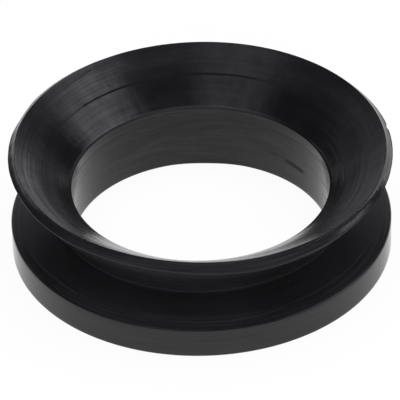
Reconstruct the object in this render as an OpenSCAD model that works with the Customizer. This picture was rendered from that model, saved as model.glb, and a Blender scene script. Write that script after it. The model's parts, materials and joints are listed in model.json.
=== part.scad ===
// V-ring: a one-piece rubber seal that turns with its shaft and wipes a flat counterface with its lip.
// The shaft's axis is Z. The flat back lies on z = 0 and the lip opens upwards.

/* [Ring] */
// Bore diameter, before the ring is stretched on its shaft
bore_d = 12.5; // [6:0.1:60]
// Radial height of the section, from the bore to the outside
section_h = 3; // [2:0.1:5]
// Width of the body along the bore, from the back to the foot of the lip
body_w = 3.4; // [2.6:0.1:4.6]
// Free width of the whole ring, from the back to the sealing edge
ring_w = 5.5; // [4.8:0.1:7.5]

/* [Groove] */
// Width of the cylindrical land round the outside of the body
land_w = 1.53; // [0.8:0.01:2.4]
// Thickness of the hinge, the rubber left between the bore and the bottom of the groove
hinge_t = 0.76; // [0.4:0.01:1.5]
// Height of the bottom of the groove above the back
root_z = 2.17; // [1.8:0.01:2.8]
// Radius at the bottom of the groove
root_r = 0.15; // [0.05:0.01:0.4]

/* [Lip] */
// How far the lip's rim stands outside the body
rim_overhang = 0.04; // [0.01:0.01:0.3]
// How far the sealing edge lies inside the rim
edge_inset = 0.3; // [0.1:0.01:0.6]
// How far the end face drops, from the sealing edge to the rim
end_drop = 0.4; // [0.2:0.01:0.8]
// Height of the rim's blunt edge
rim_h = 0.06; // [0.03:0.01:0.3]

/* [Edges] */
// Radius on the edges of the back and of the land
body_edge_r = 0.08; // [0.02:0.01:0.3]
// Radius where the bore runs out into the lip's inner face
bore_mouth_r = 0.12; // [0.02:0.01:0.5]

/* [Hidden] */
$fn = 180;
bore_r = bore_d / 2;
outside_r = bore_r + section_h;
rim_r = outside_r + rim_overhang;
arc_lap = 1.0005;

// Corners of the section as [radius, height], in order round its outline
bore_back = [bore_r, 0];
land_back = [outside_r, 0];
land_top = [outside_r, land_w];
groove_root = [bore_r + hinge_t, root_z];
rim_top = [rim_r, ring_w - end_drop];
rim_bottom = rim_top - [0, rim_h];
sealing_edge = [rim_r - edge_inset, ring_w];
lip_foot = [bore_r, body_w];
mouth_z = (land_top[1] + rim_bottom[1]) / 2;

// Direction from one point to another, of length 1
function heading(from, to) = (to - from) / norm(to - from);

// The area between a corner and the arc of radius r that rounds it, which also laps past the corner's sides.
// The arc is larger than r by the factor arc_lap, so that it crosses the sides instead of just touching them.
module spandrel(corner, neighbours, r) {
    side_a = heading(corner, neighbours[0]);
    side_b = heading(corner, neighbours[1]);
    half_angle = acos(side_a * side_b) / 2;
    reach = r / tan(half_angle);
    middle = side_a + side_b;
    centre = corner + middle / norm(middle) * r / sin(half_angle);
    difference() {
        polygon([corner + side_a * reach, corner - middle * reach, corner + side_b * reach, centre]);
        translate(centre) circle(r * arc_lap);
    }
}

// The section before its groove is cut: the outside steps out to the rim halfway up the groove's mouth
module blank() {
    polygon([
        bore_back, land_back, [outside_r, mouth_z], [rim_r, mouth_z],
        rim_top, sealing_edge, lip_foot
    ]);
}

// The V-groove with its rounded bottom: its sides pass through the land's top and the rim's lower corner
module groove() {
    difference() {
        polygon([groove_root, 2 * land_top - groove_root, 2 * rim_bottom - groove_root]);
        spandrel(groove_root, [land_top, rim_bottom], root_r);
    }
}

// The finished section: the body, the hinge that the groove leaves, and the lip
module section() {
    difference() {
        blank();
        groove();
        spandrel(bore_back, [lip_foot, land_back], body_edge_r);
        spandrel(land_back, [bore_back, land_top], body_edge_r);
        spandrel(land_top, [land_back, groove_root], body_edge_r);
        spandrel(lip_foot, [sealing_edge, bore_back], bore_mouth_r);
    }
}

// The whole ring, in one piece of black rubber
module v_ring() {
    color([0.07, 0.07, 0.075])
        rotate_extrude()
            section();
}

v_ring();
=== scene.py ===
"""A black rubber V-ring: it stands on its back on a white studio floor, with its lip upwards."""
import json
import math
from types import SimpleNamespace

import bpy
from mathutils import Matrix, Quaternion, Vector


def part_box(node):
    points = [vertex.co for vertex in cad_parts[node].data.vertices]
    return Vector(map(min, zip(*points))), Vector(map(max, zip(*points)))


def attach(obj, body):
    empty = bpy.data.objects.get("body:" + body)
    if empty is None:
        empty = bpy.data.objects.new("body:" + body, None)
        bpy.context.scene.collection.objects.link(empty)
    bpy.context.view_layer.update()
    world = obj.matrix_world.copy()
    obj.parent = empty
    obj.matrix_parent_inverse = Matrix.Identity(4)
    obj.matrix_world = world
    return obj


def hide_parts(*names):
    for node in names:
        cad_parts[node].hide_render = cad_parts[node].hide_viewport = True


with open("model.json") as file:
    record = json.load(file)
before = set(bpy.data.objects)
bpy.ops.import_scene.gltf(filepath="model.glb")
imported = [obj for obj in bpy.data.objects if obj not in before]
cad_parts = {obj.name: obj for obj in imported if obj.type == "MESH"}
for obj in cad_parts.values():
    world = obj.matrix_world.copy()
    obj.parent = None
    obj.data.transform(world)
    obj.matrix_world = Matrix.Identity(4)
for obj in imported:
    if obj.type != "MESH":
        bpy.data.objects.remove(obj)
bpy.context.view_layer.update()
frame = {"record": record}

# Sizes of the ring in millimetres, from the frame
MM = 0.001
mounts = {mount["name"]: mount for mount in frame["record"]["mounts"]}
lowest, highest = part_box("v_ring")
BORE_R = mounts["shaft_bore"]["dims"]["r_mm"]
EDGE_R = mounts["lip_contact"]["dims"]["r_mm"]
RIM_R = highest.x / MM
RING_W = highest.z / MM

# Sizes of the section that the frame doesn't name
BODY_R = RIM_R - 0.04
BODY_W = 3.4
LAND_W = 1.53
ROOT_R = BORE_R + 0.76
ROOT_Z = 2.17
RIM_Z = RING_W - 0.34
END_BOW = 0.018
RIM_ROUND = 0.04
LIP_SLOPE = (RING_W - BODY_W) / (EDGE_R - BORE_R)

# Radius on each corner of the section, and the number of its steps
CORNER_ROUNDS = {
    "bore_back": (0.08, 4),
    "land_back": (0.08, 4),
    "land_top": (0.07, 4),
    "groove_root": (0.15, 8),
    "rim": (RIM_ROUND, 4),
    "sealing_edge": (0.012, 2),
    "lip_foot": (0.1, 4),
}

# How many cuts divide each stretch of the section
STRETCH_CUTS = [
    ("bore_back", "land_back", 3),
    ("land_back", "land_top", 10),
    ("land_top", "groove_root", 16),
    ("groove_root", "rim", 16),
    ("sealing_edge", "line_outside", 34),
    ("line_inside", "lip_foot", 36),
    ("lip_foot", "bore_line_top", 4),
    ("bore_line_foot", "bore_back", 14),
]
SPIN_STEPS = 480
MERGE_DISTANCE = 0.0005
SMOOTH_ANGLE = 35

# Lines that were turned into the lip's inner face and into the bore
LINE_R = 7.66
LINE_WIDTH = 0.07
LINE_DEPTH = 0.004
BORE_LINE_Z = 2.87
BORE_LINE_DEPTH = 0.006
MARK_DEPTH = 0.0016

# The rim was trimmed a little aslant: its outer corner rises by so much towards one side
RIM_RISE = 0.1
RIM_HIGH_SIDE = 120

# Where the soft rubber is uneven: the circle, the middle and half width of the arc in degrees,
# how far it stands out and up, and how far round it the surface follows
UNEVEN_ARCS = [
    ("sealing_edge", -150, 38, -0.14, -0.14, 0.85),
    ("sealing_edge", -62, 44, 0.03, -0.165, 2.6),
    ("rim", 14, 22, 0.05, 0.02, 0.35),
    ("rim", -32, 18, 0.0, 0.08, 0.35),
    ("rim", -72, 26, 0.0, -0.12, 0.35),
    ("rim", 160, 8, -0.06, 0.0, 0.35),
    ("rim", -160, 12, -0.03, 0.0, 0.35),
    ("rim", 11, 1.6, -0.05, -0.02, 0.12),
    ("bore_back", 87, 14, -0.06, 0.0, 0.3),
    ("line_bottom", 103, 70, 0.0, -0.024, 0.03),
]
PUSH_STEPS = 6

# How near to its corner the vertices of a circle lie, for the circles that are bent
CIRCLE_REACH = {
    "rim": RIM_ROUND + 0.01,
    "sealing_edge": 0.015,
    "bore_back": 0.04,
    "line_bottom": 0.001,
}

# Where the camera stands, as fitted to the photograph
VIEW_DISTANCE = 203.5
VIEW_ELEVATION = 37.03
VIEW_ROLL = -1.43
VIEW_AIM = (-0.045, 1.13, 1.5)
VIEW_LENS = 374.5

# Directions round the ring, with the camera in front
FRONT = (0, -1, 0)
FRONT_LEFT = (-0.26, -0.97, 0)
LEFT_FRONT = (-0.92, -0.39, 0)
BACK_LEFT = (-0.39, 0.92, 0)
RIGHT_BACK = (0.8, 0.6, 0)

# Marks on the rubber: a scratch across the lip, part of a wide arc, and a smear that slopes along the bore
SCRATCH_MIDDLE = (3.77, -2.64, 5.2)
SCRATCH_R = 13.24
SCRATCH_X = -6.5
SMEAR_Z = 1.72
SMEAR_SLOPE = -0.106

# Colours: black rubber; its grey blooming, which also paints fill and bounce light in the groove; a light
# grey for dust and for painted sheen and highlights; and how white the floor is
RUBBER_BLACK = (0.004, 0.004, 0.0044, 1)
RUBBER_BLOOM_AND_FILL = (0.026, 0.026, 0.0278, 1)
DUST_AND_SHEEN_GREY = (0.45, 0.45, 0.46, 1)
FLOOR_WHITE = 0.93


def deselect_all():
    """Leaves nothing selected, because operators act on all that is."""
    bpy.ops.object.select_all(action="DESELECT")


def named_input(node, name):
    """An input of a node by its number or name, of the kind that the node's settings leave in use."""
    if isinstance(name, int):
        return node.inputs[name]
    return next(entry for entry in node.inputs if entry.name == name and entry.enabled)


def add_node(tree, kind, inputs=None, **settings):
    """A new shader node with its settings, and its inputs linked or filled in."""
    node = tree.nodes.new("ShaderNode" + kind)
    for name, value in settings.items():
        setattr(node, name, value)
    for name, value in (inputs or {}).items():
        if isinstance(value, bpy.types.NodeSocket):
            tree.links.new(value, named_input(node, name))
        else:
            named_input(node, name).default_value = value
    return node


def math_node(tree, operation, *values):
    """The result of a Math node on one to three values."""
    return add_node(tree, "Math", dict(enumerate(values)), operation=operation).outputs[0]


def spread(tree, value, low, high, to_low=0.0, to_high=1.0):
    """A value from one range mapped smoothly to another, and kept inside it."""
    return add_node(
        tree, "MapRange",
        {"Value": value, "From Min": low, "From Max": high, "To Min": to_low, "To Max": to_high},
        interpolation_type="SMOOTHSTEP",
    ).outputs[0]


def product(tree, *values):
    """Several values multiplied."""
    result = values[0]
    for value in values[1:]:
        result = math_node(tree, "MULTIPLY", result, value)
    return result


def total(tree, *values):
    """Several values added."""
    result = values[0]
    for value in values[1:]:
        result = math_node(tree, "ADD", result, value)
    return result


def weigh(tree, base, *shares):
    """A base value with shares added to it, each of them several values that are multiplied."""
    return total(tree, base, *(product(tree, *share) for share in shares))


def along(tree, vector, towards):
    """How far a vector reaches in a direction."""
    return add_node(tree, "VectorMath", {0: vector, 1: towards}, operation="DOT_PRODUCT").outputs["Value"]


# The camera

def place_camera():
    """A long lens at the photograph's viewing angle."""
    elevation = math.radians(VIEW_ELEVATION)
    place = Vector((0, -math.cos(elevation), math.sin(elevation))) * VIEW_DISTANCE * MM
    towards = Vector(VIEW_AIM) * MM - place
    bpy.ops.object.camera_add(location=place)
    camera = bpy.context.object
    camera.name = "camera"
    turn = towards.to_track_quat("-Z", "Y") @ Quaternion((0, 0, 1), math.radians(VIEW_ROLL))
    camera.rotation_euler = turn.to_euler()
    camera.data.sensor_width = 36
    camera.data.lens = VIEW_LENS
    camera.data.clip_start = 0.01
    camera.data.clip_end = 10
    bpy.context.scene.camera = camera


# The studio

def floor_material():
    """White to the camera and in reflections, with a little shading left for the ring's shadow."""
    material = bpy.data.materials.new("white_floor")
    material.use_nodes = True
    tree = material.node_tree
    tree.nodes.clear()
    path = add_node(tree, "LightPath")
    bounced = math_node(tree, "ADD", path.outputs["Is Glossy Ray"], path.outputs["Is Transmission Ray"])
    bounced = math_node(tree, "MULTIPLY", bounced, FLOOR_WHITE)
    seen = add_node(
        tree, "Math", {0: path.outputs["Is Camera Ray"], 1: FLOOR_WHITE, 2: bounced},
        operation="MULTIPLY_ADD", use_clamp=True,
    ).outputs[0]
    paper = add_node(tree, "BsdfDiffuse", {"Color": (0.9, 0.9, 0.9, 1)})
    glow = add_node(tree, "Emission", {"Color": (1, 1, 1, 1), "Strength": 1.0})
    mix = add_node(tree, "MixShader", {0: seen, 1: paper.outputs[0], 2: glow.outputs[0]})
    add_node(tree, "OutputMaterial", {"Surface": mix.outputs[0]})
    return material


def lay_floor():
    """A wide plane under the ring."""
    deselect_all()
    bpy.ops.mesh.primitive_plane_add(size=4)
    floor = bpy.context.object
    floor.name = "studio_floor"
    floor.data.materials.append(floor_material())


def direction(azimuth, elevation):
    """A direction in the studio. Azimuth 0 is straight away from the camera, 90 is to the right."""
    turn, rise = math.radians(azimuth), math.radians(elevation)
    return Vector((math.sin(turn) * math.cos(rise), math.cos(turn) * math.cos(rise), math.sin(rise)))


def soft_glow(tree, place, azimuth, elevation, core, reach, strength):
    """A round light in the room that fades from its core to its reach, in degrees from its middle."""
    towards = along(tree, place, direction(azimuth, elevation))
    fading = spread(tree, towards, math.cos(math.radians(reach)), math.cos(math.radians(core)))
    return product(tree, fading, fading, strength)


def dim_room():
    """A dim room above the floor: bright at its horizon, most to the right, and paler behind the camera.
    A large soft light stands on the right, a weak one hangs over the front left, a low one is on the left."""
    world = bpy.data.worlds.new("dim_room")
    bpy.context.scene.world = world
    world.use_nodes = True
    tree = world.node_tree
    tree.nodes.clear()
    place = add_node(tree, "TexCoord").outputs["Generated"]
    way = add_node(tree, "SeparateXYZ", {0: place})
    right_back = along(tree, place, RIGHT_BACK)
    horizon = spread(tree, way.outputs["Z"], 0.05, 0.17, 1.0, 0.0)
    horizon = product(tree, horizon, spread(tree, right_back, -0.1, 0.8, 0.25, 2.1))
    low = spread(tree, way.outputs["Z"], 0.0, 0.45, 0.14, 0.02)
    front = spread(tree, way.outputs["Y"], -0.2, -0.9, 0.0, 0.24)
    back = spread(tree, way.outputs["Y"], 0.62, 0.85, 0.0, 0.4)
    key = soft_glow(tree, place, azimuth=87, elevation=42, core=3, reach=30, strength=2.3)
    weak = soft_glow(tree, place, azimuth=-139, elevation=64, core=3, reach=27, strength=0.72)
    left = soft_glow(tree, place, azimuth=-62, elevation=8, core=3, reach=23, strength=0.7)
    level = total(tree, horizon, low, front, back, key, weak, left)
    room = add_node(tree, "Background", {"Color": (0.98, 0.98, 1.06, 1), "Strength": level})
    add_node(tree, "OutputWorld", {"Surface": room.outputs[0]})


def hang_fill(name, azimuth, elevation, distance, size, power):
    """A rectangular lamp that faces the ring and leaves no highlight on it."""
    outward = direction(azimuth, elevation)
    bpy.ops.object.light_add(type="AREA", location=outward * distance)
    lamp = bpy.context.object
    lamp.name = name
    lamp.rotation_euler = (-outward).to_track_quat("-Z", "Y").to_euler()
    lamp.data.shape = "RECTANGLE"
    lamp.data.size, lamp.data.size_y = size
    lamp.data.energy = power
    lamp.data.color = (1.0, 1.0, 1.03)
    lamp.visible_glossy = False
    lamp.visible_camera = False


def light_studio():
    """Two fills: a wide one overhead and a low one in front."""
    hang_fill("overhead_fill", azimuth=0, elevation=89, distance=0.6, size=(0.8, 0.8), power=4.2)
    hang_fill("front_fill", azimuth=180, elevation=12, distance=0.4, size=(0.4, 0.15), power=0.8)


# The ring

def lip_height(radius):
    """Height of the lip's inner face at a radius."""
    return BODY_W + (radius - BORE_R) * LIP_SLOPE


def on_lip(radius, depth=0.0):
    """A point of the lip's inner face at a radius, or at a depth under it."""
    slope = math.atan(LIP_SLOPE)
    return (radius + depth * math.sin(slope), lip_height(radius) - depth * math.cos(slope))


CORNERS = {
    "bore_back": (BORE_R, 0),
    "land_back": (BODY_R, 0),
    "land_top": (BODY_R, LAND_W),
    "groove_root": (ROOT_R, ROOT_Z),
    "rim": (RIM_R, RIM_Z),
    "sealing_edge": (EDGE_R, RING_W),
    "line_outside": on_lip(LINE_R + LINE_WIDTH / 2),
    "line_bottom": on_lip(LINE_R, LINE_DEPTH),
    "line_inside": on_lip(LINE_R - LINE_WIDTH / 2),
    "lip_foot": (BORE_R, BODY_W),
    "bore_line_top": (BORE_R, BORE_LINE_Z + LINE_WIDTH / 2),
    "bore_line_bottom": (BORE_R + BORE_LINE_DEPTH, BORE_LINE_Z),
    "bore_line_foot": (BORE_R, BORE_LINE_Z - LINE_WIDTH / 2),
}


def end_face(share):
    """A point of the lip's hollow end face, from the rim at share 0 to the sealing edge at share 1."""
    rim, edge = (Vector(CORNERS[name]) for name in ("rim", "sealing_edge"))
    along = edge - rim
    inward = Vector((-along.y, along.x)).normalized()
    return tuple(rim + along * share + inward * 4 * END_BOW * share * (1 - share))


END_SHARES = [step / 7 for step in range(1, 7)]


def outline_points():
    """All points of the section's outline, in order round it from the bore's back edge."""
    points = []
    for name, corner in CORNERS.items():
        points.append(corner)
        if name == "rim":
            points += [end_face(share) for share in END_SHARES]
    return points


def pick_vertices(mesh, chosen):
    """Selects the vertices whose place passes the test. Runs in edit mode."""
    bpy.ops.mesh.select_mode(type="VERT")
    bpy.ops.mesh.select_all(action="DESELECT")
    bpy.ops.object.mode_set(mode="OBJECT")
    for vertex in mesh.vertices:
        vertex.select = chosen(vertex.co)
    bpy.ops.object.mode_set(mode="EDIT")


def pick_circle(mesh, point, reach):
    """Selects the vertices of one circle round the axis, or the one vertex of the outline."""
    spot = Vector(point)
    pick_vertices(mesh, lambda place: (Vector((place.xy.length, place.z)) - spot).length < reach)


def cut_stretch(mesh, start, end, cuts):
    """Divides the outline's edge whose middle lies nearest to the middle of a stretch."""
    middle = (Vector(CORNERS[start]) + Vector(CORNERS[end])) / 2
    bpy.ops.mesh.select_mode(type="EDGE")
    bpy.ops.mesh.select_all(action="DESELECT")
    bpy.ops.object.mode_set(mode="OBJECT")
    points = mesh.vertices

    def distance(edge):
        first, second = (points[index].co.xz for index in edge.vertices)
        return ((first + second) / 2 - middle).length

    min(mesh.edges, key=distance).select = True
    bpy.ops.object.mode_set(mode="EDIT")
    bpy.ops.mesh.subdivide(number_cuts=cuts)


def draw_outline():
    """The closed outline of the section, drawn in millimetres from one corner of a plane."""
    points = outline_points()
    deselect_all()
    bpy.ops.mesh.primitive_plane_add(size=2)
    ring = bpy.context.object
    ring.name = "rubber_ring"
    mesh = ring.data
    bpy.ops.object.mode_set(mode="EDIT")
    pick_vertices(mesh, lambda place: place.x < 0 or place.y < 0)
    bpy.ops.mesh.delete(type="VERT")
    bpy.ops.mesh.select_all(action="SELECT")
    start = Vector((points[0][0], 0, points[0][1]))
    bpy.ops.transform.translate(value=start - Vector((1, 1, 0)))
    for here, there in zip(points, points[1:]):
        step = (there[0] - here[0], 0, there[1] - here[1])
        bpy.ops.mesh.extrude_region_move(TRANSFORM_OT_translate={"value": step})
    bpy.ops.mesh.select_all(action="SELECT")
    bpy.ops.mesh.edge_face_add()
    return ring


def round_corner(mesh, corner, radius, segments):
    """Rounds one corner of the outline."""
    pick_circle(mesh, CORNERS[corner], 0.001)
    bpy.ops.mesh.bevel(
        offset_type="OFFSET", offset=radius, segments=segments, affect="VERTICES", clamp_overlap=True,
    )


def mark_lip(mesh):
    """Moves the points of the lip's inner face a little off their line, as turning marks."""
    def marked(place):
        inside = BORE_R + 0.15 < place.x < EDGE_R - 0.05
        return inside and abs(place.z - lip_height(place.x)) < 0.001

    pick_vertices(mesh, marked)
    bpy.ops.transform.vertex_random(offset=MARK_DEPTH, seed=4)


def tilt_circle(mesh, point, rise, high_side, reach=0.001):
    """Tilts one circle of the ring, so that it rises towards one side."""
    pick_circle(mesh, point, reach)
    axis = math.radians(high_side - 90)
    for name, part in (("X", math.cos(axis)), ("Y", math.sin(axis))):
        bpy.ops.transform.rotate(
            value=-rise / point[0] * part, orient_axis=name, center_override=(0, 0, point[1]),
        )


def tilt_rim(mesh):
    """Tilts the rounded rim, with the end face following it."""
    tilt_circle(mesh, CORNERS["rim"], RIM_RISE, RIM_HIGH_SIDE, CIRCLE_REACH["rim"])
    for share in END_SHARES:
        tilt_circle(mesh, end_face(share), RIM_RISE * (1 - share), RIM_HIGH_SIDE)


def circle_angles(mesh, point, reach):
    """The vertices round one circle by their number, with their angles in degrees."""
    angles = {}
    for vertex in mesh.vertices:
        place = vertex.co
        if math.hypot(place.xy.length - point[0], place.z - point[1]) < reach:
            angles[vertex.index] = math.degrees(math.atan2(place.y, place.x))
    return angles


def push_arc(mesh, angles, middle, half_width, outward, upward, reach):
    """Moves an arc of a circle, most in its middle, and draws the surface within reach along with it."""
    turn = math.radians(middle)
    step = Vector((math.cos(turn) * outward, math.sin(turn) * outward, upward)) / PUSH_STEPS
    for number in range(PUSH_STEPS):
        width = half_width * (1 - number / PUSH_STEPS)
        bpy.ops.mesh.select_all(action="DESELECT")
        bpy.ops.object.mode_set(mode="OBJECT")
        for index, angle in angles.items():
            mesh.vertices[index].select = abs((angle - middle + 180) % 360 - 180) < width
        bpy.ops.object.mode_set(mode="EDIT")
        bpy.ops.transform.translate(
            value=step, use_proportional_edit=True, proportional_edit_falloff="SMOOTH",
            proportional_size=reach,
        )


def make_uneven(mesh, circles):
    """Bends the arcs where the ring isn't quite round or level."""
    for circle, middle, half_width, outward, upward, reach in UNEVEN_ARCS:
        push_arc(mesh, circles[circle], middle, half_width, outward, upward, reach)


def model_ring():
    """The whole ring, spun from its outline."""
    ring = draw_outline()
    mesh = ring.data
    for corner, (radius, segments) in CORNER_ROUNDS.items():
        round_corner(mesh, corner, radius, segments)
    bpy.ops.mesh.select_all(action="SELECT")
    bpy.ops.mesh.delete(type="ONLY_FACE")
    for start, end, cuts in STRETCH_CUTS:
        cut_stretch(mesh, start, end, cuts)
    mark_lip(mesh)
    bpy.ops.mesh.select_all(action="SELECT")
    bpy.ops.mesh.spin(steps=SPIN_STEPS, angle=math.tau, center=(0, 0, 0), axis=(0, 0, 1))
    bpy.ops.mesh.select_all(action="SELECT")
    bpy.ops.mesh.remove_doubles(threshold=MERGE_DISTANCE)
    bpy.ops.object.mode_set(mode="OBJECT")
    circles = {name: circle_angles(mesh, CORNERS[name], reach) for name, reach in CIRCLE_REACH.items()}
    bpy.ops.object.mode_set(mode="EDIT")
    tilt_rim(mesh)
    make_uneven(mesh, circles)
    bpy.ops.mesh.select_all(action="SELECT")
    bpy.ops.mesh.normals_make_consistent(inside=False)
    bpy.ops.transform.resize(value=(MM, MM, MM), center_override=(0, 0, 0))
    bpy.ops.object.mode_set(mode="OBJECT")
    bpy.ops.object.shade_smooth_by_angle(angle=math.radians(SMOOTH_ANGLE))
    return ring


# The rubber

def ring_place(tree):
    """Where a point lies on the ring, in millimetres, and its heading from the axis."""
    place = add_node(tree, "TexCoord").outputs["Object"]
    place = add_node(tree, "VectorMath", {0: place, "Scale": 1 / MM}, operation="SCALE").outputs[0]
    flat = add_node(tree, "VectorMath", {0: place, 1: (1, 1, 0)}, operation="MULTIPLY").outputs[0]
    parts = add_node(tree, "SeparateXYZ", {0: place}).outputs
    return SimpleNamespace(
        place=place,
        x=parts["X"],
        y=parts["Y"],
        height=parts["Z"],
        heading=add_node(tree, "VectorMath", {0: flat}, operation="NORMALIZE").outputs[0],
        radius=add_node(tree, "VectorMath", {0: flat}, operation="LENGTH").outputs["Value"],
    )


def streaks(tree, spot, turns, fineness, seed, detail=3.0):
    """Noise that is drawn out round the axis: more turns make it shorter, more fineness makes it thinner."""
    out = math_node(tree, "MULTIPLY", spot.radius, fineness)
    across = add_node(tree, "CombineXYZ", {"Z": out}).outputs[0]
    vector = add_node(
        tree, "VectorMath", {0: spot.heading, 1: (turns, turns, 0), 2: across}, operation="MULTIPLY_ADD",
    ).outputs[0]
    rise = math_node(tree, "MULTIPLY_ADD", spot.height, fineness, seed)
    noise = add_node(
        tree, "TexNoise", {"Vector": vector, "W": rise, "Scale": 1.0, "Detail": detail},
        noise_dimensions="4D",
    )
    return noise.outputs[0]


def band(tree, value, middle, half_width, fade):
    """One inside a band of values, and nothing outside it."""
    off = math_node(tree, "ABSOLUTE", math_node(tree, "SUBTRACT", value, middle))
    return spread(tree, off, half_width, half_width + fade, 1.0, 0.0)


def centred(tree, noise):
    """A noise that goes both ways from nothing."""
    return math_node(tree, "SUBTRACT", noise, 0.5)


def find_faces(tree, spot):
    """Masks of the ring's faces and of stretches of them, told apart by where they lie and how they lean."""
    radius, height = spot.radius, spot.height
    normal = add_node(tree, "TexCoord").outputs["Normal"]
    facing = add_node(tree, "SeparateXYZ", {0: normal}).outputs["Z"]
    leaning = along(tree, spot.heading, normal)
    sideways = math_node(tree, "ABSOLUTE", spot.x)
    face_height = math_node(tree, "MULTIPLY_ADD", radius, LIP_SLOPE, BODY_W - BORE_R * LIP_SLOPE)
    above_lip = math_node(tree, "SUBTRACT", height, face_height)
    lip = product(tree, spread(tree, leaning, 0.1, -0.1), spread(tree, facing, 0.3, 0.5))
    end = product(
        tree, spread(tree, radius, EDGE_R - 0.3, EDGE_R - 0.1), spread(tree, height, 4.0, 4.4),
        spread(tree, facing, -0.1, 0.1), spread(tree, leaning, -0.1, 0.1),
    )
    groove = product(
        tree, spread(tree, height, LAND_W - 0.05, LAND_W + 0.05), spread(tree, leaning, 0.0, 0.2),
        math_node(tree, "SUBTRACT", 1.0, end),
    )
    rim_edge = product(
        tree, spread(tree, radius, RIM_R - 0.05, RIM_R - 0.015), spread(tree, height, 4.5, 4.8),
    )
    land = product(
        tree, spread(tree, radius, BODY_R - 0.06, BODY_R - 0.02),
        spread(tree, height, LAND_W, LAND_W - 0.06),
    )
    return SimpleNamespace(
        lip=lip,
        near_rim=product(tree, lip, spread(tree, radius, 7.3, 8.5)),
        rubbed=product(tree, lip, spread(tree, radius, 6.4, 7.4), spread(tree, sideways, 5.2, 7.0)),
        end=end,
        rim_edge=rim_edge,
        rim_sides=product(tree, rim_edge, spread(tree, sideways, 7.0, 8.5)),
        groove=groove,
        # Painted light: the lip's underside, lightened for the floor's bounce light
        underside_bounce_paint=product(tree, groove, spread(tree, height, 3.4, 5.0)),
        # Painted fill light: the groove's inner part, lightened where the lip shades it
        deep_fill_paint=product(tree, groove, spread(tree, radius, 8.8, 7.3)),
        root=product(tree, groove, spread(tree, radius, 7.5, 7.1)),
        # Painted light: a pool of fill light in the groove on the front left
        front_left_fill_paint=product(tree, groove, spread(tree, along(tree, spot.heading, FRONT_LEFT), 0.75, 0.95)),
        shoulder_edge=product(tree, groove, spread(tree, height, 1.9, 1.7), spread(tree, radius, 8.3, 8.7)),
        land=land,
        bore=product(tree, spread(tree, radius, 6.36, 6.3), spread(tree, above_lip, -0.02, -0.08)),
    )


def turning_marks(tree, spot):
    """The streaks that turning left, from long and thin ones to short and broad ones."""
    return SimpleNamespace(
        fine=streaks(tree, spot, 1.6, 9.0, 0.0),
        coarse=streaks(tree, spot, 0.9, 3.3, 21.0, 2.0),
        ripple=streaks(tree, spot, 14.0, 0.8, 31.0, 2.0),
        broad=streaks(tree, spot, 1.6, 2.0, 7.0),
        blotch=streaks(tree, spot, 5.0, 1.3, 13.0, 5.0),
        brushed=streaks(tree, spot, 3.0, 4.0, 17.0, 4.0),
        grain=streaks(tree, spot, 40.0, 7.0, 43.0, 2.0),
    )


def surface_relief(tree, spot, on, marks):
    """Height of the turning marks, and of one scratch across the lip."""
    fine_height = weigh(tree, 0.002, (on.lip, 0.006), (on.near_rim, 0.008), (on.end, 0.008))
    coarse_height = weigh(tree, 0.002, (on.lip, 0.014), (on.near_rim, 0.012), (on.shoulder_edge, 0.02))
    off_middle = add_node(
        tree, "VectorMath", {0: spot.place, 1: SCRATCH_MIDDLE}, operation="DISTANCE",
    ).outputs["Value"]
    scratch = product(
        tree, on.lip, band(tree, off_middle, SCRATCH_R, 0.012, 0.03),
        band(tree, spot.x, SCRATCH_X, 1.0, 0.4),
    )
    return weigh(
        tree, product(tree, scratch, -0.01),
        (centred(tree, marks.fine), fine_height),
        (centred(tree, marks.coarse), coarse_height),
        (centred(tree, marks.ripple), on.lip, 0.012),
        (centred(tree, marks.grain), on.end, 0.012),
    )


def dust_and_painted_sheen(tree, spot, on, marks):
    """Dust, most of it on the lip's end; a painted sheen in streaks on the lip's front; scuffs with a painted
    sheen near the rim on the left front; and a painted highlight along the bore's top edge under the lip's
    foot.
    """
    cells = add_node(tree, "TexVoronoi", {"Vector": spot.place, "Scale": 2.2})
    chance = add_node(tree, "SeparateColor", {0: cells.outputs["Color"]}).outputs[0]
    kept = spread(tree, math_node(tree, "MULTIPLY_ADD", on.end, 0.15, chance), 0.95, 0.96)
    dust = product(tree, kept, spread(tree, cells.outputs["Distance"], 0.07, 0.05))
    # Painted sheen: paler streaks on the lip's front, the side that faces the camera, standing in for the
    # reflection there
    front_sheen = product(
        tree, on.lip, spread(tree, along(tree, spot.heading, FRONT), 0.1, 0.45),
        spread(tree, marks.fine, 0.3, 0.7, 0.012, 0.04),
    )
    # Scuffs near the rim on the left front, paler in streaks, which also carry a painted sheen for the light
    # the rim catches there
    scuffs_and_sheen = product(
        tree, on.lip, spread(tree, along(tree, spot.heading, LEFT_FRONT), 0.86, 0.98),
        spread(tree, spot.radius, 7.6, 8.4), spread(tree, marks.fine, 0.4, 0.7, 0.02, 0.13),
    )
    # Painted highlight: a thin pale band along the bore's top edge, under the lip's foot, at the back left
    bore_edge_highlight = product(
        tree, band(tree, spot.radius, BORE_R + 0.03, 0.04, 0.08), spread(tree, spot.height, 3.2, 3.32),
        spread(tree, along(tree, spot.heading, BACK_LEFT), 0.3, 0.7), 0.035,
    )
    return total(tree, dust, front_sheen, scuffs_and_sheen, bore_edge_highlight)


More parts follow.
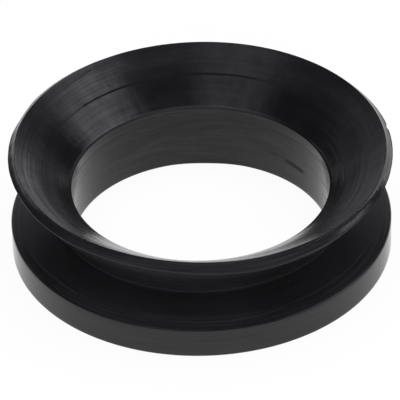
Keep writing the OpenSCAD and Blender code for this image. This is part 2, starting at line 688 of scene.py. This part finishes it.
def rubber_colour(tree, spot, on, marks):
    """Black rubber blooming grey, with painted fill light deep in the groove and on its front left, painted
    bounce light on the lip's underside, and dust with painted sheen.
    """
    bloom_and_fill = weigh(
        tree, spread(tree, marks.broad, 0.3, 0.7, 0.0, 0.1),
        (spread(tree, marks.blotch, 0.3, 0.7, 0.0, 0.1),),
        (on.near_rim, 0.14),
        (on.end, spread(tree, marks.fine, 0.4, 0.7, 0.1, 0.4)),
        (on.groove, 0.06),
        # painted fill light deep in the groove, where the lip's shade falls
        (on.deep_fill_paint, 0.18),
        # painted pool of fill light in the groove on the front left
        (on.front_left_fill_paint, 0.2),
        # painted bounce light from the floor on the lip's underside
        (on.underside_bounce_paint, 0.6),
        (on.shoulder_edge, spread(tree, marks.fine, 0.45, 0.65, 0.0, 0.4)),
        (on.land, spread(tree, marks.fine, 0.3, 0.7, 0.15, 0.4)),
        (on.bore, spread(tree, marks.brushed, 0.35, 0.7, 0.0, 0.6)),
    )
    bloomed_and_filled = add_node(
        tree, "Mix", {"Factor": bloom_and_fill, "A": RUBBER_BLACK, "B": RUBBER_BLOOM_AND_FILL}, data_type="RGBA",
    ).outputs[2]
    dust_and_sheen = dust_and_painted_sheen(tree, spot, on, marks)
    return add_node(tree, "Mix", {"Factor": dust_and_sheen, "A": bloomed_and_filled, "B": DUST_AND_SHEEN_GREY}, data_type="RGBA").outputs[2]


def rubber_roughness(tree, spot, on, marks):
    """Smooth, but duller in the groove, on the lip's sides, on the rim and in a smear on the bore's wall."""
    off_smear = math_node(
        tree, "SUBTRACT", spot.height, math_node(tree, "MULTIPLY_ADD", spot.x, SMEAR_SLOPE, SMEAR_Z),
    )
    smear = product(
        tree, on.bore, band(tree, off_smear, 0.0, 0.05, 0.18), spread(tree, spot.x, 2.6, 4.2),
        spread(tree, spot.x, 5.35, 5.0), spread(tree, spot.y, 1.0, 2.0),
        spread(tree, marks.blotch, 0.25, 0.45),
    )
    return weigh(
        tree, 0.12,
        (on.lip, spread(tree, marks.coarse, 0.3, 0.7, 0.03, 0.11)),
        (on.near_rim, 0.04),
        (on.rubbed, 0.15),
        (on.end, 0.04),
        (on.rim_edge, 0.35),
        (on.groove, 0.15),
        (on.root, 0.3),
        (on.bore, spread(tree, marks.brushed, 0.4, 0.7, 0.0, 0.2)),
        (smear, 0.5),
    )


def rubber_gloss(tree, spot, on, marks):
    """How strongly the rubber reflects: streaky on the lip, less at the groove's root and the rim's sides."""
    dull_line = product(
        tree, on.lip, band(tree, spot.radius, LINE_R, 0.02, 0.04),
        spread(tree, along(tree, spot.heading, BACK_LEFT), 0.4, 0.8),
    )
    return weigh(
        tree, 0.5,
        (on.lip, centred(tree, marks.ripple), 0.6),
        (on.lip, centred(tree, marks.fine), 0.5),
        (dull_line, -0.15),
        (on.rim_sides, -0.5),
        (on.root, -0.38),
        (on.bore, spread(tree, spot.height, 0.6, 2.6, 0.0, -0.1)),
    )


def black_rubber():
    """Satin black rubber. Turning marks run round the axis and draw reflections out across them."""
    material = bpy.data.materials.new("black_rubber")
    material.use_nodes = True
    tree = material.node_tree
    tree.nodes.clear()
    spot = ring_place(tree)
    on = find_faces(tree, spot)
    marks = turning_marks(tree, spot)
    relief = surface_relief(tree, spot, on, marks)
    bump = add_node(tree, "Bump", {"Strength": 1.0, "Distance": MM, "Height": relief})
    across = add_node(
        tree, "VectorTransform", {0: spot.heading}, convert_from="OBJECT", convert_to="WORLD",
    )
    shader = add_node(tree, "BsdfPrincipled", {
        "Base Color": rubber_colour(tree, spot, on, marks),
        "Roughness": rubber_roughness(tree, spot, on, marks),
        "IOR": 1.39,
        "Specular IOR Level": rubber_gloss(tree, spot, on, marks),
        "Anisotropic": product(tree, on.rubbed, 0.75),
        "Tangent": across.outputs[0],
        "Normal": bump.outputs[0],
    })
    add_node(tree, "OutputMaterial", {"Surface": shader.outputs[0]})
    return material


place_camera()
lay_floor()
dim_room()
light_studio()
rubber_ring = model_ring()
rubber_ring.data.materials.append(black_rubber())
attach(rubber_ring, "root")
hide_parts("v_ring")

scene = bpy.context.scene
scene.view_settings.view_transform = "Standard"
